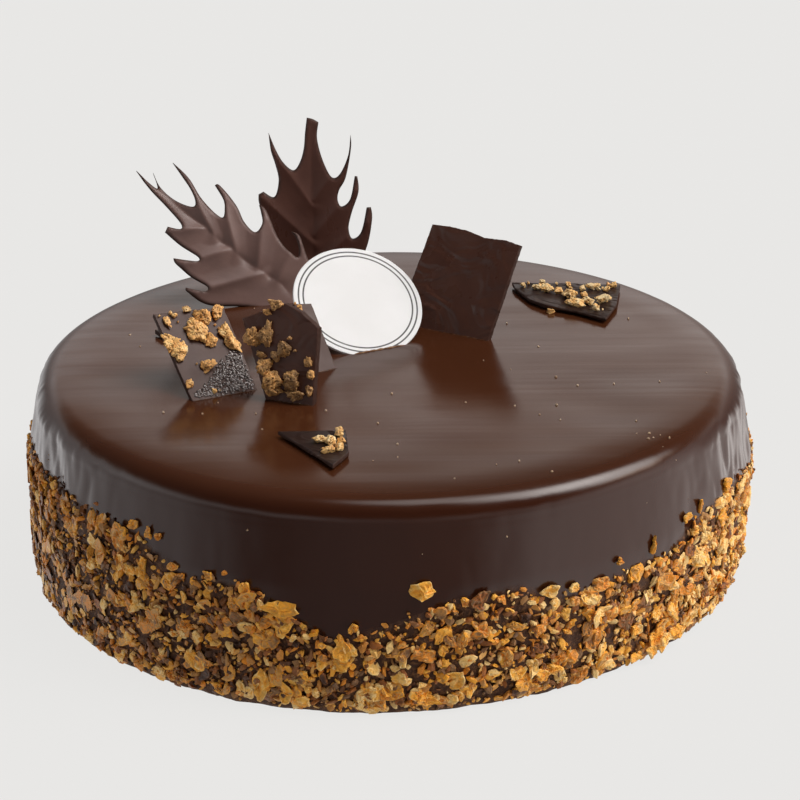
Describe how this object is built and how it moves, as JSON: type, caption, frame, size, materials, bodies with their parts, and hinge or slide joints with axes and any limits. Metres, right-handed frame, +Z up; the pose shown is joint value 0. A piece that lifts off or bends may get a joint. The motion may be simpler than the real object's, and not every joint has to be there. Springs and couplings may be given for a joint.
{
  "type": "mousse cake",
  "caption": "Round dark-glazed mousse cake with a band of caramelised flakes round its lower side and thin chocolate leaves, tiles and shards on top.",
  "frame": {"origin": "middle of the cake's flat underside", "axes": "+Z up out of the glazed top, -Y towards the side that the picture shows, +X to its right"},
  "size_m": [0.2098, 0.2085, 0.1116],
  "materials": {
    "glaze": "smooth dark chocolate mirror glaze, satin to glossy",
    "milk_dark_chocolate": "brushed satin chocolate",
    "dark_chocolate": "snapped dark chocolate with a soft shine",
    "white_disc": "smooth white with two fine dark rings near its edge",
    "caramel_flakes": "crisp caramelised flakes and crumbs, golden to brown"
  },
  "bodies": {
    "root": {"cake": "glaze", "leaf_left": "milk_dark_chocolate", "leaf_back": "milk_dark_chocolate", "tile_left": "dark_chocolate", "tile_middle": "dark_chocolate", "tile_behind": "dark_chocolate", "tile_right": "dark_chocolate", "shard_right": "dark_chocolate", "shard_front": "dark_chocolate", "shard_left": "dark_chocolate", "disc": "white_disc"}
  },
  "joints": []
}
